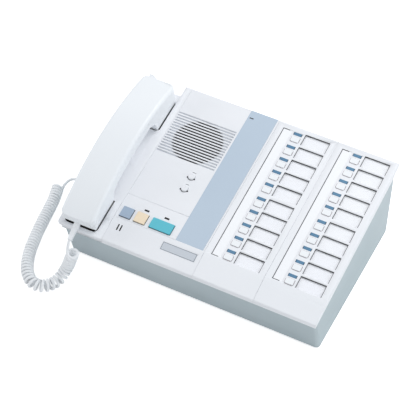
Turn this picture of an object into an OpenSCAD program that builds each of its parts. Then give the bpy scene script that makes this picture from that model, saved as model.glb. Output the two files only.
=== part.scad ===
// Desk master station of an intercom: a wedge-shaped case, a handset lying in a cradle at the left,
// a speaker with its controls, and two panels of ten station keys each at the right.
//
// x runs to the right, y to the back and z up. The origin is on the table, under the middle of the body.
// The top slopes down to the front. Places on it are given as [u, v, w]: u to the right, v up the slope
// from the front edge of the case's rim, and w square to the slope, counted from the plane of the rim.

/* [Case] */
// Height of the case's rim at the front, above the table
front_h = 59; // [50:1:75]
// Slope of the top, in degrees
slope = 9.3; // [7:0.1:12]
// Lean of the front wall, in degrees
front_lean = 13; // [0:1:18]
// Lean of the rear wall, in degrees
rear_lean = 2.5; // [0:0.5:5]
// Wall of the lower case
wall = 3; // [2.5:0.1:4]
// Radius of the upright corners
corner_r = 5; // [4:0.5:8]
// Thickness of the base plate
base_t = 2; // [1.5:0.5:3]
// Height of the rubber feet below the case
foot_h = 2; // [1.5:0.5:4]
// Diameter of a foot
foot_d = 16; // [10:1:20]

/* [Covers] */
// Height of the top above the rim
cover_h = 11.8; // [11:0.1:14]
// Height of the front lip
lip_h = 6.5; // [5:0.5:8]
// Length of the steeper apron at the front
apron = 31; // [28:1:36]
// How far the lip stands before the rim
lip_over = 2; // [1:0.5:3]
// How far the covers reach past the rear wall
rear_over = 11.5; // [8:0.5:14]
// How far the cradle cover reaches past the left wall
left_over = 6; // [5:0.5:8]
// Skin of the covers
skin = 2.6; // [2.2:0.1:3]
// Side walls of the covers
side_t = 2; // [1.6:0.1:2.6]
// Gap at the seams between the covers
seam = 0.3; // [0.2:0.1:0.4]
// Running clearance of every moving piece
clear = 0.35; // [0.3:0.05:0.5]

/* [Station panels] */
// Number of stations on a panel
rows = 10; // [8:1:10]
// Spacing of the stations
row_pitch = 19.9; // [19:0.1:21]
// Extra space between the two halves of a panel
mid_gap = 2; // [1:0.5:4]
// Width of a name window
window_w = 32.6; // [28:0.2:33]
// Height of a name window
window_h = 17; // [14:0.5:17.5]
// Depth of a name window
window_deep = 2.2; // [1.8:0.1:2.6]
// Width of the directory strip
strip_w = 12.5; // [10:0.5:13]
// Width of a station key
key_w = 10.4; // [9:0.1:10.6]
// Depth of a station key, up the slope
key_d = 7.4; // [6:0.1:7.6]
// How far a station key stands above the panel
key_up = 1; // [0.6:0.1:1.5]
// Travel of a station key
key_travel = 1; // [0.6:0.1:1.2]
// Depth of a lamp bar, up the slope
lamp_d = 4; // [3:0.1:4.2]

/* [Control cover] */
// Width of the control field
control_w = 81.6; // [80:0.2:86]
// Width of the coloured band
band_w = 36; // [30:0.5:38]
// Number of slots in the grille
slots = 16; // [12:1:16]
// Spacing of the slots
slot_pitch = 4; // [3.6:0.1:4.2]
// Width of a slot
slot_w = 2; // [1.4:0.1:2.2]
// Depth of the blind part of a slot
slot_deep = 1.2; // [0.8:0.1:1.6]
// Diameter of the speaker
speaker_d = 57; // [50:1:60]
// Diameter of a volume knob
knob_d = 8.4; // [7:0.2:10]
// How far a volume knob stands up
knob_up = 2.4; // [1.5:0.1:4]
// Spacing of the two volume knobs
knob_pitch = 18.4; // [16:0.2:20]
// How far a function button stands up
button_up = 1.8; // [1:0.1:3]
// Travel of a function button
button_travel = 1.5; // [1:0.1:2]
// Depth of a function button, up the slope
button_d = 14.2; // [12:0.2:15]

/* [Cradle] */
// Play of the handset between the sides of the wells
hs_play = 2.8; // [2:0.1:4]
// Thickness of the wells' floor
floor_t = 2.8; // [2.4:0.1:3.4]
// Length of the front well
mouth_l = 46.5; // [42:0.5:48]
// Front end of the rear well
ear_v = 160; // [155:1:164]
// Diameter of the hook plunger
plunger_d = 7; // [5:0.5:9]
// Travel of the hook plunger
plunger_up = 4; // [3:0.5:5]

/* [Handset] */
// Width of the handset
hs_w = 45; // [42:0.5:45.5]
// Radius of the arched top
arch_r = 305; // [290:1:320]
// Top of the arch above the rim
arch_top = 52.7; // [50:0.1:56]
// Thickness of the grip
grip_t = 16.5; // [14:0.5:20]
// Depth of the upper shell, down to the parting line
shell_t = 9; // [8:0.2:11]
// Wall of the handset's shells
hs_wall = 2.2; // [1.8:0.1:2.6]
// Rounding of the top edges
edge_r = 4.5; // [3:0.5:6]
// How far the handset lifts off in the model
lift = 60; // [20:5:80]

/* [Curly cord] */
// Thickness of the cord
cord_d = 3.4; // [3:0.1:3.5]
// Outer diameter of a curl
curl_d = 16; // [15:0.2:16.4]
// Number of curls
curls = 54; // [46:1:54]

/* [Hidden] */
$fn = 48;
eps = 0.01;

function key_name(i) = str("station_key_", i < 10 ? "0" : "", i);

white = [0.93, 0.94, 0.94];
grey_white = [0.80, 0.83, 0.86];
dark = [0.25, 0.26, 0.28];
metal = [0.70, 0.71, 0.72];
board_green = [0.16, 0.38, 0.25];

// ---- widths: every u follows from the pieces that stand side by side

well_w = hs_w + hs_play;
well_margin = 3.6;
land_w = 8.6;
control_margin = 0.2;
band_margin = 2.2;
strip_margin = 8.3;
lamp_margin = 2.5;
lamp_w = 11;
window_margin = 3.2;
panel_margin = 7.9;
cradle_w = well_margin + well_w + land_w;
control_cover_w = control_margin + control_w + band_w + band_margin;
station_w = strip_margin + strip_w + lamp_margin + lamp_w + window_margin + window_w + panel_margin;
body_w = cradle_w + control_cover_w + 2 * station_w;

left_u = -body_w / 2;
case_left_u = left_u + left_over;
right_u = body_w / 2;
cradle_u = left_u + cradle_w;
station_u = cradle_u + control_cover_w;
well_u = left_u + well_margin;
control_u = cradle_u + control_margin;
band_u = control_u + control_w;

// ---- lengths up the slope

row_margin = 7.7;
top_v = apron - 0.3 + (rows - 1) * row_pitch + mid_gap + window_h;
rear_v = top_v + row_margin;
rim_v = rear_v - rear_over;
function row_v(i) = top_v - window_h / 2 - i * row_pitch - (i >= rows / 2 ? mid_gap : 0);

// ---- the case

apron_r = 70;
under_w = 3;
rim_lap = 1.4;

// The covers' tongues drop inside the rim, where their tips clear the leaning walls
tongue_l = 4;
tongue_gap = 0.3;
tongue_t = 1.6;
front_creep = tongue_l * (cos(slope) * tan(front_lean) - sin(slope));
rear_creep = tongue_l * (sin(slope) + cos(slope) * tan(rear_lean));
tongue_v = (wall / cos(front_lean) + tongue_gap + max(0, front_creep)) / (cos(slope) + sin(slope) * tan(front_lean));
rear_tongue_v = rim_v - (wall / cos(rear_lean) + tongue_gap + rear_creep) / (cos(slope) - sin(slope) * tan(rear_lean));

case_d = rim_v * cos(slope);
rear_h = front_h + rim_v * sin(slope);
outline_ys = [for (p = cover_outline()) p[0] * cos(slope) - p[1] * sin(slope)];
front_y = -(min(outline_ys) + max(outline_ys)) / 2;

function front_wall_y(z) = (front_h - z) * tan(front_lean);
function rear_wall_y(z) = case_d - (rear_h - z) * tan(rear_lean);

// Places its children on the slope, at [u, v, w]
module on_slope(p = [0, 0, 0]) {
    translate([0, front_y, front_h]) rotate([slope, 0, 0]) translate(p) children();
}

// ---- helpers

function unit(a) = a / norm(a);

// Points of an arc of radius r that rounds the corner q between p and s
function corner(p, q, s, r, n) =
    let (a = unit(p - q), b = unit(s - q), half = acos(a * b) / 2,
         c = q + unit(a + b) * r / sin(half),
         p0 = q + a * r / tan(half), p1 = q + b * r / tan(half),
         a0 = atan2(p0[1] - c[1], p0[0] - c[0]), a1 = atan2(p1[1] - c[1], p1[0] - c[0]),
         turn = a1 - a0 > 180 ? a1 - a0 - 360 : a1 - a0 < -180 ? a1 - a0 + 360 : a1 - a0)
    [for (i = [0:n]) c + r * [cos(a0 + turn * i / n), sin(a0 + turn * i / n)]];

// A polygon whose corners pts are rounded by the radii rs
function rounded(pts, rs, n = 5) =
    let (m = len(pts))
    [for (i = [0:m - 1])
        each rs[i] == 0 ? [pts[i]] : corner(pts[(i + m - 1) % m], pts[i], pts[(i + 1) % m], rs[i], n)];

function box_outline(a, b) = [a, [b[0], a[1]], b, [a[0], b[1]]];

// A block from a to b, whose four upright edges have radius r
module block(a, b, r = 0) {
    translate([0, 0, a[2]])
        linear_extrude(b[2] - a[2])
            polygon(rounded(box_outline([a[0], a[1]], [b[0], b[1]]), [r, r, r, r]));
}

// An upright pin or disc of diameter d, from w0 to w1
module disc(u, v, w0, w1, d) {
    translate([u, v, w0]) cylinder(d = d, h = w1 - w0);
}

// A side outline in [v, w], carried along u
module along_u(u0, u1, outline) {
    translate([u0, 0, 0]) rotate([90, 0, 90]) linear_extrude(u1 - u0) polygon(outline);
}

// A front outline in [u, w], carried along v
module along_v(v0, v1, outline) {
    translate([0, v1, 0]) rotate([90, 0, 0]) linear_extrude(v1 - v0) polygon(outline);
}

// ---- the lower case: four leaning walls with bosses, and a plate under them

boss_d = 9;
boss_top = 24;
screw_d = 3;
boss_u = [case_left_u + wall + 8, (case_left_u + right_u) / 2, right_u - wall - 8];
boss_y = [front_wall_y(foot_h) + wall + 9, rear_wall_y(foot_h) - wall - 9];
socket_y = 102;
socket_z = 24;
line_u = 96;
line_z = 26;

function case_outline(inset, down, up) =
    [[front_wall_y(foot_h - down) + inset, foot_h - down],
     [rear_wall_y(foot_h - down) - inset, foot_h - down],
     [rear_wall_y(rear_h + up) - inset, rear_h + up],
     [front_wall_y(front_h + up) + inset, front_h + up]];

// The wedge of the case, drawn in by inset, with its four upright edges rounded
module case_wedge(inset, down = 0, up = 0) {
    u0 = case_left_u + inset;
    u1 = right_u - inset;
    r = corner_r - inset / 2;
    reach = 200;
    intersection() {
        along_u(u0, u1, case_outline(inset, down, up));
        translate([0, 0, front_h])
            rotate([front_lean, 0, 0])
                translate([0, 0, -reach])
                    linear_extrude(2 * reach)
                        polygon(rounded(box_outline([u0, inset], [u1, 2 * reach]), [r, r, 0, 0]));
        translate([0, case_d, rear_h])
            rotate([-rear_lean, 0, 0])
                translate([0, 0, -reach])
                    linear_extrude(2 * reach)
                        polygon(rounded(box_outline([u0, -2 * reach], [u1, -inset]), [0, 0, r, r]));
    }
}

module each_boss() {
    for (u = boss_u)
        for (y = boss_y)
            translate([u, y, foot_h + base_t]) children();
}

module lower_case() {
    color(grey_white)
        translate([0, front_y, 0])
            difference() {
                union() {
                    difference() {
                        case_wedge(0);
                        case_wedge(wall, 10, 10);
                    }
                    intersection() {
                        case_wedge(wall / 2);
                        union() {
                            each_boss() cylinder(d = boss_d, h = boss_top);
                            for (u = boss_u)
                                for (y = boss_y)
                                    translate([u - 1, y < 100 ? 0 : y, foot_h + base_t])
                                        cube([2, y < 100 ? y : 60, boss_top - 4]);
                        }
                    }
                }
                each_boss() translate([0, 0, -1]) cylinder(d = screw_d - 0.4, h = boss_top - 4);
                translate([case_left_u - 1, socket_y - 7, socket_z - 6]) cube([wall + 2, 14, 12]);
                translate([line_u - 15, case_d - 30, line_z - 9]) cube([30, 40, 18]);
            }
}

foot_in = 26;

module each_foot() {
    for (u = [case_left_u + foot_in, right_u - foot_in])
        for (y = [front_wall_y(0) + foot_in, rear_wall_y(0) - foot_in])
            translate([u, y, 0]) children();
}

board_leg = 9;
board_u = [-70, 80];
board_y = [60, 180];

// The plate lies inside the walls, against the bosses
module base_plate() {
    color(metal)
        translate([0, front_y, 0]) {
            difference() {
                intersection() {
                    case_wedge(wall + 0.2, 10, 10);
                    translate([-body_w, 0, foot_h]) cube([2 * body_w, 2 * body_w, base_t]);
                }
                each_boss() translate([0, 0, -base_t - 1]) cylinder(d = screw_d + 0.4, h = base_t + 2);
                for (i = [0:11])
                    translate([-60 + i * 10, 118, foot_h - 1]) cube([3, 24, base_t + 2]);
            }
            for (u = board_u)
                for (y = board_y)
                    translate([u, y, foot_h + base_t]) cylinder(d = 6, h = board_leg);
        }
}

module rubber_feet() {
    color(dark)
        translate([0, front_y, 0])
            each_foot() cylinder(d1 = foot_d - 2, d2 = foot_d, h = foot_h);
}

module base_screws() {
    color(metal)
        translate([0, front_y, 0])
            each_boss()
                translate([0, 0, -base_t]) {
                    translate([0, 0, -1.2]) difference() {
                        cylinder(d = 5.6, h = 1.2);
                        translate([-2, -0.4, -1]) cube([4, 0.8, 1.6]);
                        translate([-0.4, -2, -1]) cube([0.8, 4, 1.6]);
                    }
                    cylinder(d = screw_d - 0.4, h = 12);
                }
}

// ---- the covers: one outline from the lip to the rear, carried over four mouldings

function cover_outline() =
    rounded(
        [[-lip_over, 0], [-lip_over, lip_h], [apron, cover_h], [rear_v, cover_h],
         [rear_v, under_w], [rim_v, under_w], [rim_v, 0]],
        [0, 1.6, apron_r, 3, 2.4, 0, 0]);

function cover_hollow(top) =
    [[rim_lap, -1], [rim_lap, lip_h - top], [apron, cover_h - top],
     [rear_v - 2.6, cover_h - top], [rear_v - 2.6, under_w + 2.2], [rim_v - 2, under_w + 2.2], [rim_v - 2, -1]];

// Tongues that drop inside the rim, front and rear, up to the skin
module tongues(u0, u1, front_top, rear_top) {
    block([u0, tongue_v, -tongue_l], [u1, tongue_v + tongue_t, front_top]);
    block([u0, rear_tongue_v - tongue_t, -tongue_l], [u1, rear_tongue_v, rear_top]);
}

// One cover moulding: its outline, hollow from below, with a tongue inside the rim, front and rear
module cover_shell(u0, u1, top, wall0, wall1) {
    difference() {
        along_u(u0, u1, cover_outline());
        along_u(u0 + wall0, u1 - wall1, cover_hollow(top));
    }
    tongues(u0 + wall0, min(u1 - wall1, right_u - wall - corner_r), lip_h - top + 1.6, cover_h - top + 0.4);
}

// ---- the cradle cover: two wells for the handset's ends, and a level land between them

mouth_v = 3.5;
well_taper = 2.4;
left_taper = 4.9;
ear_back = rear_v + 1;
function well_outline(grow = 0) =
    [[well_u - grow, cover_h + eps], [well_u + left_taper - grow, floor_t - grow],
     [well_u + well_w - well_taper + grow, floor_t - grow], [well_u + well_w + grow, cover_h + eps]];

hook_u = well_u + well_w / 2;
hook_v = ear_v + 26;

module cradle_cover() {
    land_v0 = mouth_v + mouth_l + 3;
    seam_u = cradle_u - seam / 2;
    color(white)
        on_slope()
            difference() {
                union() {
                    intersection() {
                        along_u(left_u, seam_u, cover_outline());
                        along_v(-lip_over - 1, rear_v + 1,
                            rounded([[left_u, 4.4], [case_left_u, 4.4], [case_left_u, 0], [seam_u, 0],
                                     [seam_u, cover_h + 1], [left_u, cover_h + 1]],
                                    [1.5, 0, 0, 0, 0, 2.5]));
                        linear_extrude(cover_h + 1)
                            polygon(rounded(box_outline([left_u, -lip_over], [seam_u, rear_v]), [4, 0, 0, 0]));
                    }
                    tongues(case_left_u + wall + 4, seam_u - 2, 1, 1);
                }
                intersection() {
                    along_v(mouth_v, mouth_v + mouth_l, well_outline());
                    block([left_u, mouth_v, -1], [cradle_u, mouth_v + mouth_l, cover_h + 1], 7);
                }
                intersection() {
                    along_v(ear_v, ear_back, well_outline());
                    block([well_u - 1, ear_v, -1], [well_u + well_w + 1, ear_back + 20, cover_h + 1], 7);
                }
                block([well_u + 2, land_v0, -1], [cradle_u - side_t - 1, ear_v - 3, cover_h - skin]);
                for (v = [[apron + 4, land_v0 - 3], [ear_v, rim_v - wall - 4]])
                    block([well_u + well_w + 1.6, v[0], -1], [cradle_u - side_t - 1, v[1], cover_h - skin]);
                disc(hook_u, hook_v, -1, floor_t + 1, plunger_d + 2 * clear);
            }
}

// ---- the control cover: grille, knobs, function buttons, and recesses for the band and the label plate

band_v0 = apron + 0.4;
band_deep = 1;
slot_u0 = control_u + 0.8;
slot_u1 = control_u + control_w - 2.2;
grille_v = rear_v - 69.5;
speaker_u = control_u + 40.2;
knob_u = control_u + 58.8;
knob_v = grille_v - 49.5;
function_v = 2 * apron + 4;
button_v = apron + 10;
button_gap = 0.4;
led_v = button_v + 12.2;
plate_u = band_u - 12.2;
plate_w = 45;
plate_d = 10.4;
plate_v = apron - 11.8;
mic_u = control_u + 10.8;
mic_v = apron - 11;

// Left edge and width of each function button: off, all call, talk
buttons = [[5, 14.2], [23.8, 14.6], [44.3, 28.4]];
function button_u(i) = control_u + buttons[i][0];

module control_cover() {
    color(white)
        on_slope()
            difference() {
                union() {
                    cover_shell(cradle_u + seam / 2, station_u - seam / 2, skin, side_t, side_t);
                    translate([speaker_u, grille_v, cover_h - skin - 4])
                        difference() {
                            cylinder(d = speaker_d + 3.4, h = 4 + eps);
                            translate([0, 0, -1]) cylinder(d = speaker_d + 0.6, h = 6);
                        }
                    for (p = [[control_u + 6, function_v + 8], [control_u + 6, knob_v],
                              [band_u + band_w / 2, apron + 8], [band_u + band_w / 2, knob_v]])
                        disc(p[0], p[1], board_w, cover_h - skin + eps, 6);
                }
                grille_cuts();
                band_recess();
                for (i = [0:2])
                    block([button_u(i) - clear, button_v - button_d / 2 - clear, 0],
                          [button_u(i) + buttons[i][1] + clear, button_v + button_d / 2 + clear, cover_h + 1],
                          0.6);
                for (i = [0:1])
                    disc(knob_u, knob_v - i * knob_pitch, 0, cover_h + 1, knob_d + 2 * clear);
                for (v = [function_v, apron + 0.3])
                    block([control_u, v - 0.3, cover_h - 0.4], [control_u + control_w, v + 0.3, cover_h + 1]);
                led_holes(0.05);
                apron_place()
                    union() {
                        for (i = [0:1])
                            block([mic_u + 4 * i - 0.65, mic_v - 3.7, -6], [mic_u + 4 * i + 0.65, mic_v + 3.7, 2], 0.6);
                        block([plate_u, plate_v - plate_d / 2, -0.5],
                              [plate_u + plate_w, plate_v + plate_d / 2, 2], 0.6);
                    }
            }
}

// Turns its children's w = 0 into the face of the apron
apron_lean = atan((cover_h - lip_h) / (apron + lip_over));
module apron_place() {
    translate([0, apron, cover_h])
        rotate([apron_lean, 0, 0])
            translate([0, -apron, 0])
                children();
}

module grille_cuts() {
    for (i = [0:slots - 1]) {
        v = grille_v + (i - (slots - 1) / 2) * slot_pitch;
        block([slot_u0, v - slot_w / 2, cover_h - slot_deep], [slot_u1, v + slot_w / 2, cover_h + 1], slot_w / 2.1);
    }
    intersection() {
        disc(speaker_u, grille_v, 0, cover_h, speaker_d - 3);
        for (i = [0:slots - 1])
            translate([slot_u0, grille_v + (i - (slots - 1) / 2) * slot_pitch - slot_w / 2 + 0.1, 0])
                cube([slot_u1 - slot_u0, slot_w - 0.2, cover_h]);
    }
}

module band_recess() {
    block([band_u, band_v0, cover_h - band_deep], [band_u + band_w, rear_v + 1, cover_h + 1]);
}

module trim_band() {
    gap = 0.1;
    color([0.70, 0.77, 0.85])
        on_slope()
            difference() {
                intersection() {
                    block([band_u + gap, band_v0 + gap, cover_h - band_deep],
                          [band_u + band_w - gap, rear_v, cover_h]);
                    along_u(band_u, band_u + band_w, cover_outline());
                }
                block([led_u(2) - 0.05, led_v2 - 0.65, 0], [led_u(2) + 5.05, led_v2 + 0.65, cover_h + 1]);
            }
}

module label_plate() {
    color([0.72, 0.74, 0.76])
        on_slope() apron_place()
            block([plate_u + 0.1, plate_v - plate_d / 2 + 0.1, -0.5],
                  [plate_u + plate_w - 0.1, plate_v + plate_d / 2 - 0.1, 0.1], 0.5);
}

// ---- function buttons: a cap with a collar below the cover, and a stem above its switch

flange_t = 1.2;
stem_d = 4;
board_w = -2;
switch_h = 4;

// A push button at rest: the cap [du, dv] stands by up, and its collar lies just below a skin top_t thick
module push_button(u, v, du, dv, up, travel, top_t, r) {
    under = cover_h - top_t - clear;
    on_slope() {
        block([u - du / 2, v - dv / 2, under - flange_t / 2], [u + du / 2, v + dv / 2, cover_h + up], r);
        block([u - du / 2 - 1, v - dv / 2 - 1, under - flange_t], [u + du / 2 + 1, v + dv / 2 + 1, under], r);
        disc(u, v, board_w + switch_h + 1 + travel + clear, under, stem_d);
    }
}

module function_button(i) {
    push_button(button_u(i) + buttons[i][1] / 2, button_v, buttons[i][1] - button_gap, button_d - button_gap,
                button_up, button_travel, skin, 0.8);
}

module off_button() {
    color([0.62, 0.68, 0.76]) function_button(0);
}
module all_call_button() {
    color([0.94, 0.89, 0.80]) function_button(1);
}
module talk_button() {
    color([0.47, 0.76, 0.84]) function_button(2);
}

led_v2 = rear_v - 12.5;
function led_u(i) = [button_u(1) + 6, button_u(2) + 12.2, band_u + 2.6][i];

module led_holes(gap) {
    for (i = [0:1])
        block([led_u(i) - gap, led_v - 0.9 - gap, 0], [led_u(i) + 5.4 + gap, led_v + 0.9 + gap, cover_h + 1]);
    block([led_u(2) - gap, led_v2 - 0.6 - gap, 0], [led_u(2) + 5 + gap, led_v2 + 0.6 + gap, cover_h + 1]);
}

module status_lamps() {
    color([0.35, 0.16, 0.14])
        on_slope()
            intersection() {
                led_holes(0);
                block([left_u, 0, cover_h - 5], [right_u, rear_v, cover_h + 0.2]);
            }
}

// ---- volume knobs, and the controls that they turn

control_top = 3;

module volume_knob(i) {
    color(white)
        on_slope([knob_u, knob_v - i * knob_pitch, 0])
            difference() {
                union() {
                    translate([0, 0, cover_h - 1.5]) cylinder(d = knob_d, h = knob_up + 1.5 - 0.6);
                    translate([0, 0, cover_h + knob_up - 0.6]) cylinder(d1 = knob_d, d2 = knob_d - 1.2, h = 0.6);
                    translate([0, 0, control_top - 3]) cylinder(d = 4, h = cover_h - 1.5 - control_top + 3 + eps);
                }
                translate([-0.4, 1, cover_h + knob_up - 0.5]) cube([0.8, 5, 1]);
            }
}
module handset_volume_knob() {
    volume_knob(0);
}
module speaker_volume_knob() {
    volume_knob(1);
}

module volume_controls() {
    color(metal)
        on_slope()
            for (i = [0:1])
                translate([knob_u, knob_v - i * knob_pitch, 0])
                    difference() {
                        union() {
                            block([-5, -5, board_w], [5, 5, control_top - 1], 0.5);
                            cylinder(d = 7, h = control_top);
                        }
                        translate([0, 0, control_top - 3.3]) cylinder(d = 4 + 2 * clear, h = 5);
                    }
}

// ---- station panels: ten windows with cards, ten lamp bars and ten keys on each

panel_skin = 3.4;
lamp_u = strip_margin + strip_w + lamp_margin;
key_u = lamp_u + lamp_w / 2;
window_u = lamp_u + lamp_w + window_margin;
strip_v0 = apron + 0.4;
strip_v1 = top_v - 1;
strip_deep = 0.8;
window_r = 0.4;

function panel_u(p) = station_u + p * station_w;
function key_v(i) = row_v(i) - 3.6;
function lamp_v(i) = row_v(i) + 4.4;

module station_panel(p) {
    u0 = panel_u(p);
    right_gap = p == 1 ? 0 : seam / 2;
    difference() {
        intersection() {
            union() {
                cover_shell(u0 + seam / 2, u0 + station_w - right_gap, panel_skin, side_t, side_t);
                for (u = [u0 + 6, u0 + station_w - 6])
                    for (v = [apron + 2, rim_v - 12])
                        disc(u, v, board_w, cover_h - panel_skin + eps, 6);
            }
            along_v(-lip_over - 1, rear_v + 1,
                rounded([[u0, -5], [u0 + station_w, -5], [u0 + station_w, cover_h], [u0, cover_h]],
                        [0, 0, p == 1 ? 1.8 : 0, 0]));
        }
        for (i = [0:rows - 1]) {
            block([u0 + window_u, row_v(i) - window_h / 2, cover_h - window_deep],
                  [u0 + window_u + window_w, row_v(i) + window_h / 2, cover_h + 1], window_r);
            block([u0 + key_u - key_w / 2 - clear, key_v(i) - key_d / 2 - clear, 0],
                  [u0 + key_u + key_w / 2 + clear, key_v(i) + key_d / 2 + clear, cover_h + 1], 1.2);
            translate([u0 + key_u - lamp_w / 2, lamp_v(i) - lamp_d / 2, 0])
                cube([lamp_w, lamp_d, cover_h + 1]);
        }
        block([u0 + strip_margin, strip_v0, cover_h - strip_deep],
              [u0 + strip_margin + strip_w, strip_v1, cover_h + 1]);
        block([u0 + lamp_u - 2, key_v(0), -5],
              [u0 + lamp_u + lamp_w + 2, rear_tongue_v + 0.2, cover_h - panel_skin]);
    }
}
module station_panel_left() {
    color(white) on_slope() station_panel(0);
}
module station_panel_right() {
    color(white) on_slope() station_panel(1);
}

// Cards in the windows, and the long directory strips
card_t = 0.4;
module name_cards() {
    gap = 0.1;
    color([0.90, 0.89, 0.95])
        on_slope()
            for (p = [0:1]) {
                u0 = panel_u(p);
                for (i = [0:rows - 1])
                    block([u0 + window_u + gap, row_v(i) - window_h / 2 + gap, cover_h - window_deep],
                          [u0 + window_u + window_w - gap, row_v(i) + window_h / 2 - gap,
                           cover_h - window_deep + card_t]);
                block([u0 + strip_margin + gap, strip_v0 + gap, cover_h - strip_deep],
                      [u0 + strip_margin + strip_w - gap, strip_v1 - gap, cover_h - strip_deep + card_t]);
            }
}

// Clear covers that snap in over the cards
module card_windows() {
    gap = 0.1;
    color([0.85, 0.9, 0.95, 0.3])
        on_slope()
            for (p = [0:1])
                for (i = [0:rows - 1])
                    block([panel_u(p) + window_u + gap, row_v(i) - window_h / 2 + gap,
                           cover_h - window_deep + card_t],
                          [panel_u(p) + window_u + window_w - gap, row_v(i) + window_h / 2 - gap,
                           cover_h - window_deep + card_t + 0.8], window_r);
}

module station_lamps() {
    color([0.36, 0.55, 0.70])
        on_slope()
            for (p = [0:1])
                for (i = [0:rows - 1])
                    translate([panel_u(p) + key_u, lamp_v(i), 0]) {
                        block([-lamp_w / 2 + 0.05, -lamp_d / 2 + 0.05, cover_h - panel_skin],
                              [lamp_w / 2 - 0.05, lamp_d / 2 - 0.05, cover_h + 0.3]);
                        block([-lamp_w / 2 - 0.7, -lamp_d / 2 - 0.3, cover_h - panel_skin - 1],
                              [lamp_w / 2 + 0.7, lamp_d / 2 + 0.3, cover_h - panel_skin]);
                    }
}

// Station key k, from 1: the first half of the numbers is on the left panel
module station_key(k) {
    p = k > rows ? 1 : 0;
    i = (k - 1) % rows;
    color(white)
        push_button(panel_u(p) + key_u, key_v(i), key_w, key_d, key_up, key_travel, panel_skin, 1.1);
}

// ---- speaker and microphone

speaker_top = cover_h - skin;
speaker_l = 17.2;
magnet_d = 30;
magnet_t = 9;

module speaker_frame() {
    r = speaker_d / 2;
    neck = magnet_d / 2;
    color(metal)
        on_slope([speaker_u, grille_v, 0])
            difference() {
                rotate_extrude($fn = 64)
                    polygon([[r - 3.5, speaker_top], [r, speaker_top], [r, speaker_top - 2.6],
                             [r - 2.6, speaker_top - 2.6], [neck, speaker_top - speaker_l],
                             [neck - 6, speaker_top - speaker_l], [neck - 6, speaker_top - speaker_l + 1.2],
                             [neck - 1, speaker_top - speaker_l + 1.2], [r - 5, speaker_top - 1.4],
                             [r - 3.5, speaker_top - 1.4]]);
                for (a = [45:90:315])
                    rotate([0, 0, a])
                        translate([neck + 2, -6, speaker_top - speaker_l + 4.2]) cube([9, 12, 8]);
            }
}

module speaker_cone() {
    r = speaker_d / 2;
    color([0.2, 0.2, 0.2])
        on_slope([speaker_u, grille_v, 0])
            rotate_extrude($fn = 64)
                polygon([[0, speaker_top - 9], [4, speaker_top - 9.6], [8, speaker_top - 12],
                         [r - 7, speaker_top - 1.6], [r - 6, speaker_top - 0.5], [r - 5, speaker_top - 0.4],
                         [r - 3.7, speaker_top - 0.6], [r - 3.7, speaker_top - 1.4], [r - 5, speaker_top - 1.4],
                         [r - 6.1, speaker_top - 1.6], [r - 6.7, speaker_top - 2.9], [8, speaker_top - 13.2],
                         [7.4, speaker_top - 15], [6.6, speaker_top - 15], [6.8, speaker_top - 12.4],
                         [0, speaker_top - 10]]);
}

module speaker_magnet() {
    color([0.45, 0.45, 0.47])
        on_slope([speaker_u, grille_v, speaker_top - speaker_l]) {
            translate([0, 0, -magnet_t]) cylinder(d = magnet_d, h = magnet_t);
            translate([0, 0, -magnet_t - 1.5]) cylinder(d = magnet_d - 3, h = 1.6);
            cylinder(d = 11.6, h = 3);
        }
}

// The capsule lies under the two slots of the apron, in a rubber ring
module microphone() {
    color(dark)
        on_slope() apron_place()
            translate([mic_u + 2, mic_v, -skin / cos(apron_lean) - 6.6]) {
                cylinder(d = 9.6, h = 6.4);
                translate([0, 0, -1]) cylinder(d = 7, h = 1 + eps);
            }
}

// ---- hook plunger and its switch

plunger_l = 11;
module hook_plunger() {
    color(white)
        on_slope([hook_u, hook_v, 0]) {
            translate([0, 0, floor_t - plunger_l]) cylinder(d = plunger_d, h = plunger_l - 0.8);
            translate([0, 0, floor_t - 0.8]) cylinder(d1 = plunger_d, d2 = plunger_d - 1.4, h = 0.8);
            translate([0, 0, -plunger_up - clear - 1.4]) cylinder(d = plunger_d + 3, h = 1.4);
        }
}

module hook_switch() {
    top = floor_t - plunger_l - clear;
    color(dark)
        on_slope([hook_u, hook_v, 0]) {
            block([-13, -6, top - 8], [13, 6, top], 0.5);
            for (u = [-13, 11])
                block([u, -5, top - 1], [u + 2, 5, 0]);
            for (u = [-6, 0, 6])
                block([u - 0.5, -1.5, top - 12], [u + 0.5, 1.5, top - 8 + eps]);
        }
}

// ---- handset: an arched grip with two pads, in two shells

hs_u = well_u + hs_play / 2;
hs_v0 = mouth_v - 2.5;
hs_v1 = ear_v + 54.5;
pad_v = [mouth_v + 4.5, mouth_v + mouth_l - 2, ear_v + 3, hs_v1 - 2];
pad_w = floor_t + clear;
arch_v = (hs_v0 + hs_v1) / 2 + 12.25;
arch_w = arch_top - arch_r;
grip_r = arch_r - grip_t;
part_r = arch_r - shell_t;
end_r = 8;

function on_arch(r, v) = [v, arch_w + sqrt(r * r - (v - arch_v) * (v - arch_v))];

// The grip's underside is flatter than its top
under_r = 494;
under_v = arch_v + 11;
function under(v) = [v, arch_top - grip_t - under_r + sqrt(under_r * under_r - (v - under_v) * (v - under_v))];

// Side outline: sloping front, flat pads, and the underside of the grip between them
arch_steps = [for (v = [pad_v[1] + 15:14:pad_v[2] - 11]) v];
function handset_outline() =
    rounded(
        concat(
            [[hs_v0, 80], [hs_v0, 18], [hs_v0 + 5.5, 8.4], [pad_v[0], pad_w],
             [pad_v[1], pad_w], [pad_v[1] + 0.9, 13], under(pad_v[1] + 5) - [0, 4]],
            [for (v = arch_steps) under(v)],
            [under(pad_v[2] - 5) - [0, 6], [pad_v[2] - 1.6, 13], [pad_v[2], pad_w],
             [pad_v[3], pad_w], [hs_v1, 12], [hs_v1, 80]]),
        concat([0, 3, 2, 1.5, 2.5, 8, 8], [for (v = arch_steps) 0], [8, 8, 2.5, 2.5, 3, 0]));

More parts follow.
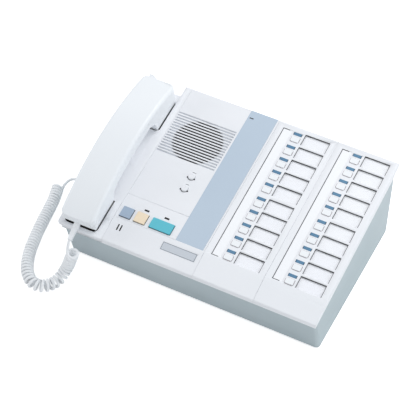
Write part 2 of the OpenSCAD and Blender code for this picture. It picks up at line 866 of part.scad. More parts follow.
// The band of the arch between the radii r0 and r1, drawn in by inset at its sides
module arch_band(r0, r1, inset, round_r) {
    half = hs_w / 2 - inset;
    translate([hs_u + hs_w / 2, arch_v, arch_w])
        rotate([0, 90, 0])
            rotate([0, 0, 150])
                rotate_extrude(angle = 60, $fn = 256)
                    polygon(rounded([[r0, -half], [r1, -half], [r1, half], [r0, half]],
                                    [0, round_r, round_r, 0], 6));
}

module handset_form() {
    intersection() {
        arch_band(arch_r - 90, arch_r, 0, edge_r);
        along_u(hs_u, hs_u + hs_w, handset_outline());
        block([hs_u, hs_v0, -10], [hs_u + hs_w, hs_v1, arch_top + 10], end_r);
        along_v(hs_v0, hs_v1,
            [[hs_u, arch_top + 10], [hs_u, 14],
             [hs_u + left_taper - hs_play / 2 + 0.5, pad_w - 1],
             [hs_u + hs_w - well_taper + hs_play / 2 - 0.8, pad_w - 1],
             [hs_u + hs_w, 14], [hs_u + hs_w, arch_top + 10]]);
    }
}

// The upper shell is hollow all along, the lower one over its pads
module upper_hollow() {
    intersection() {
        arch_band(grip_r + hs_wall, arch_r - hs_wall, hs_wall + 1.5, 2);
        block([hs_u, hs_v0 + 7, -10], [hs_u + hs_w, hs_v1 - 4, arch_top + 10]);
    }
}

module lower_hollow() {
    for (i = [0, 2])
        block([hs_u + 6.5, pad_v[i] + 3, pad_w + hs_wall], [hs_u + hs_w - 4.5, pad_v[i + 1] - 3, arch_top + 10]);
}

// Two screws join the shells, from below into columns of the upper one
screw_vs = [pad_v[1] + 24, pad_v[2] - 25];
head_d = 5.4;
head_deep = 2.4;
screw_l = grip_t - head_deep - 3.4;
module each_screw() {
    for (v = screw_vs)
        translate([hs_u + hs_w / 2, v, under(v)[1] + head_deep]) children();
}

module columns() {
    each_screw() cylinder(d = 9, h = grip_t);
}

// Hole through which the cord's sleeve leaves the front end
module relief_place() {
    translate([hs_u + hs_w / 2, relief_v, relief_w]) rotate([90 + relief_dip, 0, 0]) children();
}
module relief_hole() {
    relief_place() translate([0, 0, -12]) cylinder(d = relief_d + 0.2, h = 24);
}

module handset_top_shell() {
    color(white)
        on_slope()
            difference() {
                intersection() {
                    handset_form();
                    arch_band(part_r, arch_r + 10, -1, 0);
                }
                difference() {
                    upper_hollow();
                    columns();
                }
                each_screw() cylinder(d = 2.8, h = screw_l + 0.5);
                relief_hole();
            }
}

ear_v0 = (pad_v[2] + pad_v[3]) / 2;
mouth_v0 = (pad_v[0] + pad_v[1]) / 2;
capsule_u = hs_u + hs_w / 2 + 1;
receiver_d = 32;
mouthpiece_d = 24;

module handset_bottom_shell() {
    color(white)
        on_slope()
            difference() {
                intersection() {
                    handset_form();
                    arch_band(part_r - 80, part_r, -1, 0);
                }
                lower_hollow();
                each_screw() {
                    translate([0, 0, -12]) cylinder(d = head_d + 0.4, h = 12);
                    cylinder(d = 2.8, h = grip_t);
                }
                relief_hole();
                for (a = [0:60:300])
                    disc(capsule_u + 6 * cos(a), ear_v0 + 6 * sin(a), 0, pad_w + 4, 2);
                disc(capsule_u, ear_v0, 0, pad_w + 4, 2);
                for (i = [-2:2])
                    block([capsule_u + 4 * i - 0.7, mouth_v0 - 4, 0], [capsule_u + 4 * i + 0.7, mouth_v0 + 4, pad_w + 4], 0.6);
            }
}

module receiver_capsule() {
    base = pad_w + hs_wall;
    color(dark)
        on_slope([capsule_u, ear_v0, base]) {
            cylinder(d = receiver_d, h = 6);
            translate([0, 0, 6 - eps]) cylinder(d = receiver_d - 10, h = 4);
        }
}

module mouthpiece_capsule() {
    base = pad_w + hs_wall;
    color(dark)
        on_slope([capsule_u, mouth_v0, base]) {
            cylinder(d = mouthpiece_d, h = 4);
            translate([0, 0, 4 - eps]) cylinder(d = mouthpiece_d - 14, h = 6);
        }
}

module handset_screws() {
    color(metal)
        on_slope()
            each_screw()
                union() {
                    difference() {
                        translate([0, 0, -1.6]) cylinder(d = head_d, h = 1.6);
                        translate([-2, -0.4, -2]) cube([4, 0.8, 1.2]);
                        translate([-0.4, -2, -2]) cube([0.8, 4, 1.2]);
                    }
                    cylinder(d = 2.6, h = screw_l);
                }
}

// ---- curly cord: out of the handset's front end, round in front of the case and back along its left side

relief_l = 21;
relief_v = hs_v0;
relief_w = 16;
relief_dip = 16.5;
relief_d = 7;

module handset_cord_relief() {
    color(white)
        on_slope() relief_place() {
            translate([0, 0, -5]) cylinder(d = relief_d, h = 6);
            translate([0, 0, 1 - eps]) cylinder(d1 = relief_d, d2 = cord_d + 1.4, h = relief_l - 1 + eps);
        }
}

// Place on the slope, in the row's frame
function placed(p) =
    [p[0], front_y + p[1] * cos(slope) - p[2] * sin(slope), front_h + p[1] * sin(slope) + p[2] * cos(slope)];

relief_dir = [0, -sin(90 + relief_dip + slope), cos(90 + relief_dip + slope)];
relief_end = placed([hs_u + hs_w / 2, relief_v - relief_l * cos(relief_dip), relief_w - relief_l * sin(relief_dip)]);
plug_y = front_y + socket_y;
plug_u = case_left_u - 16;

// The cord's middle line, in round numbers between the strain relief and the plug
lie = curl_d / 2 + 0.3;
route = concat(
    [relief_end, relief_end + (cord_d + 0.6) * relief_dir],
    [[-139, -141.5, 59], [-137.5, -141, 51], [-138, -140, 42], [-140, -140.3, 32], [-143.3, -143, 21],
     [-146.8, -149, 12.3], [-149.8, -157.5, lie], [-154.5, -166.3, lie], [-162.5, -172.3, lie],
     [-172.5, -173, lie], [-182, -167.8, lie], [-190.3, -158.8, lie], [-197, -146.5, lie],
     [-202.8, -131.3, lie], [-207, -115.2, lie], [-210.6, -99.1, lie], [-213.6, -82.5, lie],
     [-216.4, -65.3, lie], [-219.5, -47.8, lie], [-223.5, -34, lie], [-225.5, -22.5, lie + 1.2],
     [-221.5, -14.5, lie + 4], [-211, plug_y - 0.3, lie + 8.5], [-198, plug_y, socket_z - 2.5],
     [-189, plug_y, socket_z]],
    [[plug_u - 3, plug_y, socket_z], [plug_u, plug_y, socket_z]]
);
coil_from = 2;
coil_to = 22;

// A point of the smooth curve through the route's points, t counted in points
function curve_at(t) =
    let (n = len(route) - 1, i = min(n - 1, max(0, floor(t))), f = t - i,
         p1 = route[i], p2 = route[i + 1],
         p0 = i == 0 ? 2 * p1 - p2 : route[i - 1],
         p3 = i == n - 1 ? 2 * p2 - p1 : route[i + 2])
    0.5 * (2 * p1 + (p2 - p0) * f + (2 * p0 - 5 * p1 + 4 * p2 - p3) * f * f
           + (3 * p1 - p0 - 3 * p2 + p3) * f * f * f);

function curve_dir(t) = unit(curve_at(t + 0.02) - curve_at(t - 0.02));

rings = 8;
ring_count = curls * rings;
curl_r = (curl_d - cord_d) / 2;
tube_sides = 6;

// Length of the curls' inner side up to t: in a bend it is shorter, and the curls stand closer there
function bend(t, step) = acos(min(1, curve_dir(t) * curve_dir(t + step))) * PI / 180;
function inner_len(t, step) = norm(curve_at(t + step) - curve_at(t)) - curl_r * bend(t, step);
function lengths(t0, t1, step) =
    [for (t = t0, s = 0; t <= t1 + step / 2; s = s + inner_len(t, step), t = t + step) [s, t]];

coil_table = lengths(coil_from, coil_to, 0.1);
coil_len = coil_table[len(coil_table) - 1][0];

// Direction square to the middle line at t, turning smoothly from the row's x to the line's right side
function side_of(t) =
    let (d = curve_dir(t), flat = [-d[1], d[0], 0])
    norm(flat) < 0.05 ? [1, 0, 0] : unit(flat);
function frame_at(t) =
    let (d = curve_dir(t), k = min(1, max(0, (t - 2) / 6)), a = unit((1 - k) * [1, 0, 0] + k * side_of(t)))
    unit(a - (a * d) * d);

// Middle of ring i of the curls, and the direction from the route's line to it
function ring_t(i) = lookup(coil_len * i / ring_count, coil_table);
function ring_out(i) =
    let (t = ring_t(i), a = frame_at(t), b = cross(curve_dir(t), a), q = 360 * i / rings)
    cos(q) * a - sin(q) * b;
function ring_reach(i) = curl_r * min(1, i / rings, (ring_count - i) / rings);
function ring_mid(i) = curve_at(ring_t(i)) + ring_reach(i) * ring_out(i);

first_out = ring_out(0);
last_out = ring_out(ring_count);
lead_in = [for (t = [0:0.25:coil_from - 0.1]) curve_at(t)];
lead_out = [for (t = [coil_to + 0.3:0.3:len(route) - 2.1]) curve_at(t)];
tail = [route[len(route) - 2], route[len(route) - 1]];

mids = concat(lead_in, [for (i = [0:ring_count]) ring_mid(i)], lead_out, tail);
outs = concat([for (p = lead_in) first_out], [for (i = [0:ring_count]) ring_out(i)],
              [for (p = lead_out) last_out], [for (p = tail) last_out]);
last_mid = len(mids) - 1;

function mid_dir(i) =
    i == 0 ? relief_dir
    : i == last_mid ? unit(mids[last_mid] - mids[last_mid - 1])
    : unit(mids[i + 1] - mids[i - 1]);

// One ring of the tube round each of these points
tube_points = [for (i = [0:last_mid])
    let (d = mid_dir(i), a = unit(outs[i] - (outs[i] * d) * d), b = cross(d, a))
    for (k = [0:tube_sides - 1])
        mids[i] + cord_d / 2 * (cos(60 * k) * a + sin(60 * k) * b)];

tube_faces = concat(
    [[for (k = [0:tube_sides - 1]) tube_sides - 1 - k]],
    [for (i = [0:last_mid - 1])
        for (k = [0:tube_sides - 1])
            let (a = i * tube_sides + k, b = i * tube_sides + (k + 1) % tube_sides)
            each [[a, b, b + tube_sides], [a, b + tube_sides, a + tube_sides]]],
    [[for (k = [0:tube_sides - 1]) last_mid * tube_sides + k]]
);

// Least gap between the cord and itself, between rings at least half a curl apart
self_gap = min([for (i = [0:last_mid - 5])
    min([for (j = [i + 5:min(last_mid, i + 3 * rings)]) norm(mids[i] - mids[j])])]) - cord_d;
echo(cord_self_gap = self_gap, coil_len = coil_len);

module curly_cord() {
    color(white) polyhedron(tube_points, tube_faces);
}

// Plug with its boot, pushed into the socket in the case's left wall
module base_cord_plug() {
    color(white)
        translate([case_left_u, plug_y, socket_z]) {
            translate([-6, -6, -4]) cube([6, 12, 8]);
            translate([-eps, -4.8, -2.8]) cube([8, 9.6, 5.6]);
            translate([-16, 0, 0]) rotate([0, 90, 0]) cylinder(d1 = cord_d + 1.2, d2 = 6.4, h = 10 + eps);
        }
}

module cord_socket() {
    color(dark)
        translate([case_left_u, plug_y, socket_z])
            difference() {
                translate([0, -6.9, -5.9]) cube([16, 13.8, 11.8]);
                translate([-1, -5, -3]) cube([12, 10, 6]);
            }
}

// ---- boards and sockets inside

board_t = 1.6;
board_edge = 8;

module main_board() {
    z = foot_h + base_t + board_leg;
    color(board_green)
        translate([0, front_y, z]) {
            translate([board_u[0] - board_edge, board_y[0] - board_edge, 0])
                cube([board_u[1] - board_u[0] + 2 * board_edge, board_y[1] - board_y[0] + 2 * board_edge, board_t]);
            translate([-40, 80, board_t]) cube([30, 24, 9]);
            translate([10, 90, board_t]) cube([14, 40, 4]);
            translate([40, 90, board_t]) cube([14, 40, 4]);
            for (i = [0:3])
                translate([-60 + 12 * i, 160, board_t]) cylinder(d = 8, h = 12);
        }
}

module key_boards() {
    color(board_green)
        on_slope() {
            block([control_u + 1, apron - 2, board_w - board_t], [station_u - 5, knob_v + 8, board_w]);
            for (p = [0:1])
                block([panel_u(p) + 3.4, apron - 2, board_w - board_t],
                      [panel_u(p) + station_w - 3.4, rim_v - 8, board_w]);
        }
}

module tact_switch(u, v) {
    block([u - 3.1, v - 3.1, board_w], [u + 3.1, v + 3.1, board_w + switch_h], 0.4);
    disc(u, v, board_w + switch_h - eps, board_w + switch_h + 1, 3.4);
}

module key_switches() {
    color(dark)
        on_slope() {
            for (p = [0:1])
                for (i = [0:rows - 1])
                    tact_switch(panel_u(p) + key_u, key_v(i));
            for (i = [0:2])
                tact_switch(button_u(i) + buttons[i][1] / 2, button_v);
        }
}

// The line cable plugs in from behind, into a recess with two rows of contacts
module line_socket() {
    color(dark)
        translate([line_u, front_y + rear_wall_y(line_z) - 1, line_z]) {
            difference() {
                translate([-14.8, -16, -8.8]) cube([29.6, 16, 17.6]);
                translate([-11, -11, -5.5]) cube([22, 12, 11]);
            }
            for (i = [0:7])
                for (z = [-2, 2])
                    translate([-7 + 2 * i - 0.4, -11 - eps, z - 0.4]) cube([0.8, 2.5, 0.8]);
        }
}

lower_case();
base_plate();
rubber_feet();
base_screws();
cradle_cover();
control_cover();
station_panel_left();
station_panel_right();
trim_band();
label_plate();
off_button();
all_call_button();
talk_button();
status_lamps();
handset_volume_knob();
speaker_volume_knob();
volume_controls();
name_cards();
card_windows();
station_lamps();
for (k = [1:2 * rows])
    station_key(k);
speaker_frame();
speaker_cone();
speaker_magnet();
microphone();
hook_plunger();
hook_switch();
handset_top_shell();
handset_bottom_shell();
receiver_capsule();
mouthpiece_capsule();
handset_screws();
handset_cord_relief();
curly_cord();
base_cord_plug();
cord_socket();
main_board();
key_boards();
key_switches();
line_socket();
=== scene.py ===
import math
import bpy
from mathutils import Matrix, Vector


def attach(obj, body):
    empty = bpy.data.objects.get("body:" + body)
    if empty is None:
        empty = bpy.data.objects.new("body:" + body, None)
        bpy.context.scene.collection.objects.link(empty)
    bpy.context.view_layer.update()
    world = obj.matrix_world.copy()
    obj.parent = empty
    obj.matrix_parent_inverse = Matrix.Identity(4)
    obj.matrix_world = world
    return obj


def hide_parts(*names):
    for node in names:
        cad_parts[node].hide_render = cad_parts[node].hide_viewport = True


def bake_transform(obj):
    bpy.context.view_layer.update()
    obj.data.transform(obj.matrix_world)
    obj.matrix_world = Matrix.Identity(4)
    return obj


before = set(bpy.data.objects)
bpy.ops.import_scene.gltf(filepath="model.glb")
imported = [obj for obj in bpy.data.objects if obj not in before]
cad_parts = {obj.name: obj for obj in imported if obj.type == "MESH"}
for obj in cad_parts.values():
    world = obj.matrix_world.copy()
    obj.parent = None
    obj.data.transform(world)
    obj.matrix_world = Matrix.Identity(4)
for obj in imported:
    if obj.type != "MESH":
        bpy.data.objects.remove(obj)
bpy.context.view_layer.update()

scene = bpy.context.scene

# ---------------------------------------------------------------------------
# Camera: looks down on the station from the right of its front, from about two
# metres away, through a long lens. Colours are shown plainly, as they are lit.

scene.view_settings.view_transform = "Standard"
CAMERA_AT = Vector((0.5377, -1.0995, 1.4619))
CAMERA_AIM = Vector((-0.0412, 0.0321, 0.0))
camera_data = bpy.data.cameras.new("desk_camera")
camera_data.lens = 133.0
camera_data.sensor_width = 36.0
camera_data.clip_start = 0.05
camera = bpy.data.objects.new("desk_camera", camera_data)
scene.collection.objects.link(camera)
camera.location = CAMERA_AT
camera.rotation_euler = (CAMERA_AIM - CAMERA_AT).to_track_quat("-Z", "Y").to_euler()
scene.camera = camera

# ---------------------------------------------------------------------------
# Curly cord: a vinyl-covered handset cord, wound hot on a rod so that it springs
# back. It hangs from the handset's front end, turns on the desk and runs back
# along the case to its plug in the left wall.

# The sloping top's own axes start at its front edge: u to the right, v up the slope, w square to it
SLOPE = math.radians(9.3)
FRONT_Y = -0.114855
FRONT_H = 0.059
TOP = Matrix.Translation((0, FRONT_Y, FRONT_H)) @ Matrix.Rotation(SLOPE, 4, "X")

# The cord in millimetres, from the end of its sleeve at the handset to its plug
CORD_D, COIL_D, CURLS = 3.6, 16, 54
CURL_R = (COIL_D - CORD_D) / 2
SLEEVE_AT = Vector((-140.5, 1, 16))
SLEEVE_L, SLEEVE_DIP = 21, math.radians(16.5)
dip = math.radians(90) + SLEEVE_DIP + SLOPE
sleeve_dir = Vector((0, -math.sin(dip), math.cos(dip)))
sleeve_end = SLEEVE_AT - SLEEVE_L * Vector((0, math.cos(SLEEVE_DIP), math.sin(SLEEVE_DIP)))
sleeve_end = TOP @ (sleeve_end / 1000) * 1000
plug_x, plug_y, plug_z = -178, -12.855, 24.0
lie = 8.3
cord_route = [sleeve_end, sleeve_end + (CORD_D + 0.6) * sleeve_dir] + [Vector(p) for p in (
    (-139, -141.5, 59), (-137.5, -141, 51), (-138, -140, 42), (-140, -140.3, 32), (-143.3, -143, 21),
    (-146.8, -149, 12.3), (-149.8, -157.5, lie), (-154.5, -166.3, lie), (-162.5, -172.3, lie),
    (-172.5, -173, lie), (-182, -167.8, lie), (-190.3, -158.8, lie), (-197, -146.5, lie),
    (-202.8, -131.3, lie), (-207, -115.2, lie), (-210.6, -99.1, lie), (-213.6, -82.5, lie),
    (-216.4, -65.3, lie), (-219.5, -47.8, lie), (-223.5, -34, lie), (-225.5, -22.5, lie + 1.2),
    (-221.5, -14.5, lie + 4), (-211, plug_y - 0.3, lie + 8.5), (-198, plug_y, plug_z - 2.5),
    (-189, plug_y, plug_z), (plug_x - 3, plug_y, plug_z), (plug_x, plug_y, plug_z))]

# Points of the route at which the coil starts, ends, and gives way to the plain cord
COIL_FROM, COIL_TO, PLAIN_FROM = 2, 22, 24


def route_point(t):
    """A point of the smooth curve through the cord's route, t counted in its points."""
    last = len(cord_route) - 1
    i = min(last - 1, max(0, int(math.floor(t))))
    f = t - i
    p1, p2 = cord_route[i], cord_route[i + 1]
    p0 = 2 * p1 - p2 if i == 0 else cord_route[i - 1]
    p3 = 2 * p2 - p1 if i == last - 1 else cord_route[i + 2]
    return 0.5 * (2 * p1 + (p2 - p0) * f + (2 * p0 - 5 * p1 + 4 * p2 - p3) * f * f
                  + (3 * p1 - p0 - 3 * p2 + p3) * f ** 3)


def route_dir(t):
    return (route_point(t + 0.02) - route_point(t - 0.02)).normalized()


# Points of the route over which the curls' side swings from straight across to flat on the desk
SWING = 6


def route_side(t):
    """The route's direction at t, and the curls' side, which is square to it."""
    along = route_dir(t)
    flat = Vector((-along.y, along.x, 0))
    flat = Vector((1, 0, 0)) if flat.length < 0.05 else flat.normalized()
    k = min(1, max(0, (t - COIL_FROM) / SWING))
    side = ((1 - k) * Vector((1, 0, 0)) + k * flat).normalized()
    return along, (side - side.dot(along) * along).normalized()


# Curls stand evenly along the coil's inner side, so that they open on the outer side of a bend
RUN_STEP = 0.1
run = [(0.0, COIL_FROM)]
while run[-1][1] < COIL_TO - 1e-6:
    s, t = run[-1]
    bend = math.acos(min(1, route_dir(t).dot(route_dir(t + RUN_STEP))))
    ahead = (route_point(t + RUN_STEP) - route_point(t)).length
    run.append((s + ahead - CURL_R * bend, t + RUN_STEP))
coil_length = run[-1][0]


def coil_t(s):
    """The place on the route at which the coil has run for s millimetres."""
    for (s0, t0), (s1, t1) in zip(run, run[1:]):
        if s <= s1:
            return t0 + (t1 - t0) * (s - s0) / (s1 - s0)
    return COIL_TO


# Each curl has STEPS points. The first curls stand wider apart, by WIDER millimetres, and the coil's
# end tips up there and shows its open ring. At both ends the line stops half a curl short, on the rim.
STEPS, OPEN_CURLS, WIDER = 20, 3, 1.5
RING_FACES, RING_SHIFT = Vector((-0.3, 0.55, -0.78)), Vector((5, 0, -1))
pitch = (coil_length - WIDER * OPEN_CURLS) / CURLS
coil_line = []
for i in range(STEPS // 2, CURLS * STEPS - STEPS // 2 + 1):
    curl = i / STEPS
    tipped = max(0, 1 - curl / OPEN_CURLS)
    t = coil_t(min(coil_length, pitch * curl + WIDER * min(OPEN_CURLS, curl)))
    along, side = route_side(t)
    along = along.lerp(RING_FACES, tipped).normalized()
    side = (side - side.dot(along) * along).normalized()
    turn = 2 * math.pi * curl
    middle = route_point(t) + tipped * RING_SHIFT
    coil_line.append(middle + CURL_R * (math.cos(turn) * side - math.sin(turn) * along.cross(side)))


def free_run(start, start_pull, end, end_pull):
    """Ten places of a smooth stretch of cord that leaves start, and will meet end, along the pulls."""
    places = (start, start + start_pull, end - end_pull, end)
    stretch = []
    for f in (i / 10 for i in range(10)):
        shares = ((1 - f) ** 3, 3 * f * (1 - f) ** 2, 3 * f * f * (1 - f), f ** 3)
        stretch.append(sum((share * place for share, place in zip(shares, places)), Vector()))
    return stretch


# From the sleeve the cord runs onto the ring's left side, and from the last curl up to its plug. The
# pulls say for how many millimetres it holds on to its direction at each end of the two free runs.
SLEEVE_PULL, RING_PULL, LAST_PULL, PLAIN_PULL = 4, 4, 5, 6
first_dir = (coil_line[1] - coil_line[0]).normalized()
last_dir = (coil_line[-1] - coil_line[-2]).normalized()
cord_line = free_run(sleeve_end, SLEEVE_PULL * sleeve_dir, coil_line[0], RING_PULL * first_dir)
cord_line += coil_line[:-1]
cord_line += free_run(coil_line[-1], LAST_PULL * last_dir,
                      route_point(PLAIN_FROM), PLAIN_PULL * route_dir(PLAIN_FROM))
cord_line += [route_point(i / 4) for i in range(4 * PLAIN_FROM, 4 * (len(cord_route) - 2))]
cord_line += cord_route[-2:]
cord_line = [p / 1000 for p in cord_line]


def select_only(piece):
    bpy.ops.object.select_all(action="DESELECT")
    piece.select_set(True)
    bpy.context.view_layer.objects.active = piece


cord_curve = bpy.data.curves.new("handset_cord", "CURVE")
cord_curve.dimensions = "3D"
cord_curve.bevel_depth = CORD_D / 2000
cord_curve.bevel_resolution = 2
cord_curve.use_fill_caps = True
spline = cord_curve.splines.new("POLY")
spline.points.add(len(cord_line) - 1)
for point, place in zip(spline.points, cord_line):
    point.co = (*place, 1)
handset_cord = bpy.data.objects.new("handset_cord", cord_curve)
scene.collection.objects.link(handset_cord)
select_only(handset_cord)
bpy.ops.object.convert(target="MESH")
handset_cord = bpy.context.view_layer.objects.active
bpy.ops.object.shade_smooth()


def fill(tree, node, values):
    """Sets a node's inputs to values, or links them where a value is another node's output."""
    for name, value in values.items():
        if isinstance(value, bpy.types.NodeSocket):
            tree.links.new(value, node.inputs[name])
        else:
            node.inputs[name].default_value = value


def add_node(tree, kind, values, output):
    node = tree.nodes.new("ShaderNode" + kind)
    fill(tree, node, values)
    return node.outputs[output]


def ramp(tree, value, low, high, at_low=0.0, at_high=1.0):
    """Goes from at_low to at_high, and no further, as the value goes from low to high."""
    return add_node(tree, "MapRange", {"Value": value, "From Min": low, "From Max": high,
                                       "To Min": at_low, "To Max": at_high}, "Result")


def maths(tree, operation, *values):
    node = tree.nodes.new("ShaderNodeMath")
    node.operation = operation
    fill(tree, node, dict(enumerate(values)))
    return node.outputs[0]


def mixed(tree, mask, colour, other):
    """One colour where the mask is 0, and the other where it is 1."""
    node = tree.nodes.new("ShaderNodeMix")
    node.data_type = "RGBA"
    fill(tree, node, {"Factor": mask, "A": colour, "B": other})
    return node.outputs["Result"]


# The moulding's fine spark-eroded grain, and the slow change of tone of a large moulding
grain_group = bpy.data.node_groups.new("moulded_grain", "ShaderNodeTree")
for name, usual in (("Grain Size", 0.0004), ("Roughness", 0.45)):
    socket = grain_group.interface.new_socket(name=name, in_out="INPUT", socket_type="NodeSocketFloat")
    socket.default_value = usual
for name in ("Height", "Roughness", "Shade"):
    grain_group.interface.new_socket(name=name, in_out="OUTPUT", socket_type="NodeSocketFloat")
group_in = grain_group.nodes.new("NodeGroupInput")
place = add_node(grain_group, "TexCoord", {}, "Object")
grains = maths(grain_group, "DIVIDE", 1.0, group_in.outputs["Grain Size"])
fine = add_node(grain_group, "TexNoise",
                {"Vector": place, "Scale": grains, "Detail": 2.0, "Roughness": 0.6}, "Fac")
slow = add_node(grain_group, "TexNoise", {"Vector": place, "Scale": 9.0, "Detail": 3.0}, "Fac")
uneven = ramp(grain_group, slow, 0.3, 0.7, -0.05, 0.06)
fill(grain_group, grain_group.nodes.new("NodeGroupOutput"), {
    "Height": fine,
    "Roughness": maths(grain_group, "ADD", uneven, group_in.outputs["Roughness"]),
    "Shade": ramp(grain_group, slow, 0.3, 0.7)})


def srgb(r, g, b):
    """A colour given as a screen shows it, from 0 to 255, as the shader takes it."""
    return tuple((c / 255 / 12.92 if c <= 10 else ((c / 255 + 0.055) / 1.055) ** 2.4)
                 for c in (r, g, b)) + (1.0,)


def blank(name):
    """A new material, with its node tree and its shader."""
    material = bpy.data.materials.new(name)
    material.use_nodes = True
    return material, material.node_tree, material.node_tree.nodes["Principled BSDF"]


def moulded(name, colour, darker, roughness, grain=0.0004, depth=0.00003, coat=0.0, specular=0.5):
    """Moulded plastic: two near shades of one colour, with grain and an uneven sheen."""
    material, tree, shader = blank(name)
    texture = tree.nodes.new("ShaderNodeGroup")
    texture.node_tree = grain_group
    fill(tree, texture, {"Grain Size": grain, "Roughness": roughness})
    bump = {"Strength": 0.35, "Distance": depth, "Height": texture.outputs["Height"]}
    fill(tree, shader, {
        "Base Color": mixed(tree, texture.outputs["Shade"], colour, darker),
        "Roughness": texture.outputs["Roughness"],
        "Normal": add_node(tree, "Bump", bump, "Normal"),
        "IOR": 1.5, "Specular IOR Level": specular, "Coat Weight": coat, "Coat Roughness": 0.25})
    return material


cord_vinyl = moulded("cord_vinyl", srgb(249, 251, 253), srgb(244, 246, 249),
                     roughness=0.4, grain=0.0009, depth=0.00002, coat=0.1)
handset_cord.data.materials.append(cord_vinyl)
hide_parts("curly_cord")
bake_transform(handset_cord)

# ---------------------------------------------------------------------------
# Cord ends: the tapered sleeve that is moulded onto the cord at the handset, and
# the plug with its boot at the case. Both are the cord's own soft vinyl.

def finish_piece(piece, body, slot, material, *nodes):
    """Puts a finished piece in the place of its solids, on its body, in its material."""
    piece.data.materials.clear()
    piece.data.materials.append(material)
    if nodes:
        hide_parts(*nodes)
    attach(piece, body)


def paint(material, *nodes):
    """Gives its material to each solid that is shown as it is."""
    for node in nodes:
        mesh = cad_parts[node].data
        mesh.materials.clear()
        mesh.materials.append(material)


def smooth(piece, angle=35):
    """Shades round faces smooth and keeps the piece's crisp edges."""
    select_only(piece)
    bpy.ops.object.shade_smooth_by_angle(angle=math.radians(angle))
    weights = piece.modifiers.new("even_normals", "WEIGHTED_NORMAL")
    weights.keep_sharp = True
    weights.weight = 80
    bpy.ops.object.modifier_apply(modifier=weights.name)


# A round stub is cut across at even steps, then drawn to a flat rounded shape with ribs, which thins
# towards its end. Its root stays inside the handset. Sizes are in millimetres.
SLEEVE_R, SLEEVE_ROOT, SHAPED_FROM = 3.5, 5, 1
CUTS, FIRST_CUT, CUT_STEP = 28, 1.5, 0.7
RIBS_FROM, RIBS_TO, GROOVE = 3, 19.5, 0.9
THINNER, SQUARER, FLATTER = 0.2, 0.75, 0.85
bpy.ops.object.select_all(action="DESELECT")
bpy.ops.mesh.primitive_cylinder_add(
    vertices=32, radius=SLEEVE_R / 1000, depth=(SLEEVE_L + SLEEVE_ROOT) / 1000,
    location=(0, 0, (SLEEVE_L - SLEEVE_ROOT) / 2000))
sleeve = bpy.context.active_object
sleeve.name = sleeve.data.name = "cord_sleeve"
bpy.ops.object.transform_apply(location=True)
bpy.ops.object.mode_set(mode="EDIT")
for step in range(CUTS):
    bpy.ops.mesh.select_all(action="SELECT")
    bpy.ops.mesh.bisect(plane_co=(0, 0, (FIRST_CUT + CUT_STEP * step) / 1000), plane_no=(0, 0, 1))
bpy.ops.object.mode_set(mode="OBJECT")
for corner in sleeve.data.vertices:
    out = corner.co.z * 1000
    if out > SHAPED_FROM:
        grooved = RIBS_FROM < out < RIBS_TO and round((out - FIRST_CUT) / CUT_STEP) % 3 == 0
        k = 1 - THINNER * (out - SHAPED_FROM) / (SLEEVE_L - SHAPED_FROM)
        k *= GROOVE if grooved else 1.0
        to_square = SLEEVE_R / 1000 / max(abs(corner.co.x), abs(corner.co.y), 1e-9)
        k *= 1 + SQUARER * (to_square - 1)
        corner.co.x *= k
        corner.co.y *= k * FLATTER
sleeve.data.transform(TOP @ Matrix.Translation(SLEEVE_AT / 1000)
                      @ Matrix.Rotation(math.radians(90) + SLEEVE_DIP, 4, "X"))
smooth(sleeve, 25)
finish_piece(sleeve, "handset", "cord", cord_vinyl, "handset_cord_relief")

paint(cord_vinyl, "base_cord_plug")

# ---------------------------------------------------------------------------
# Handset: two glossy white shells that meet in a fine line along the sides, held
# by two screws under the grip, with a black capsule behind the holes of each pad.

def dressed(node, name):
    """A copy of a solid with its faces joined, so that its round edges shade smoothly."""
    piece = bpy.data.objects.new(name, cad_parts[node].data.copy())
    scene.collection.objects.link(piece)
    select_only(piece)
    bpy.ops.object.mode_set(mode="EDIT")
    bpy.ops.mesh.select_all(action="SELECT")
    bpy.ops.mesh.remove_doubles(threshold=0.000002)
    bpy.ops.object.mode_set(mode="OBJECT")
    smooth(piece)
    return piece


handset_plastic = moulded("handset_plastic", srgb(243, 246, 249), srgb(239, 242, 246),
                          roughness=0.36, grain=0.0005, depth=0.00001, coat=0.1)
for node, name in (("handset_top_shell", "handset_back"), ("handset_bottom_shell", "handset_face")):
    finish_piece(dressed(node, name), "handset", "shell", handset_plastic, node)

black_part = moulded("black_part", srgb(38, 38, 40), srgb(30, 30, 32), roughness=0.5, grain=0.0006)
paint(black_part, "receiver_capsule", "mouthpiece_capsule")

# ---------------------------------------------------------------------------
# Metal parts: zinc-plated screws, the plate under the case, the speaker's frame
# and the bodies of the controls. Rolled sheet shows faint lines along its length.

def plated(name, colour, darker, roughness, stretch, metallic=1.0):
    """Plated or satin metal with fine drawn-out marks along X."""
    material, tree, shader = blank(name)
    place = add_node(tree, "TexCoord", {}, "Object")
    place = add_node(tree, "Mapping", {"Vector": place, "Scale": stretch}, "Vector")
    marks = add_node(tree, "TexNoise", {"Vector": place, "Scale": 1.0, "Detail": 4.0}, "Fac")
    bump = {"Strength": 0.2, "Distance": 0.00002, "Height": marks}
    fill(tree, shader, {
        "Metallic": metallic,
        "Base Color": mixed(tree, marks, colour, darker),
        "Roughness": ramp(tree, marks, 0, 1, roughness - 0.08, roughness + 0.1),
        "Normal": add_node(tree, "Bump", bump, "Normal")})
    return material


zinc_plate = plated("zinc_plate", srgb(176, 178, 176), srgb(150, 152, 152),
                    roughness=0.38, stretch=(300, 3000, 3000))
paint(zinc_plate, "base_plate", "base_screws", "handset_screws", "volume_controls", "speaker_frame")

# ---------------------------------------------------------------------------
# Lower case: one moulding of pale blue-grey plastic with a fine grain, open above
# and below, that stands on four rubber feet under its steel plate. The sockets for
# the handset's cord and for the line are let into its walls.

